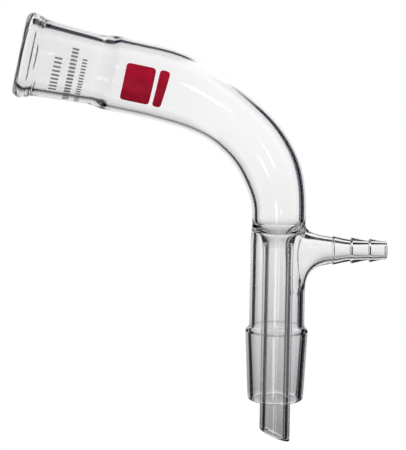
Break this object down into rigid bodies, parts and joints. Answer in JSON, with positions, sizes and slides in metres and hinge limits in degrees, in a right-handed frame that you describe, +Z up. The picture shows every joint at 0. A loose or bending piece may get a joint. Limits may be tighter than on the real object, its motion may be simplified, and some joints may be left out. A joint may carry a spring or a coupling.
{
  "type": "vacuum take-off adapter",
  "caption": "Bent vacuum take-off adapter of clear blown glass, with a tapered socket, a tapered cone round a slanted drip tube, and a barbed side arm.",
  "frame": {"origin": "centre of the bounding box on the surface the adapter lies on", "axes": "+Z up from that surface; -Y along the lower arm, from the ring seal to the drip tube's tip; +X towards the side arm"},
  "size_m": [0.1114, 0.1282, 0.0251],
  "materials": {
    "borosilicate_glass": "clear, blown and fire-polished",
    "red_enamel": "fired enamel, satin",
    "grey_enamel": "thin fired enamel, matt"
  },
  "bodies": {
    "root": {"adapter": "borosilicate_glass"}
  },
  "joints": []
}
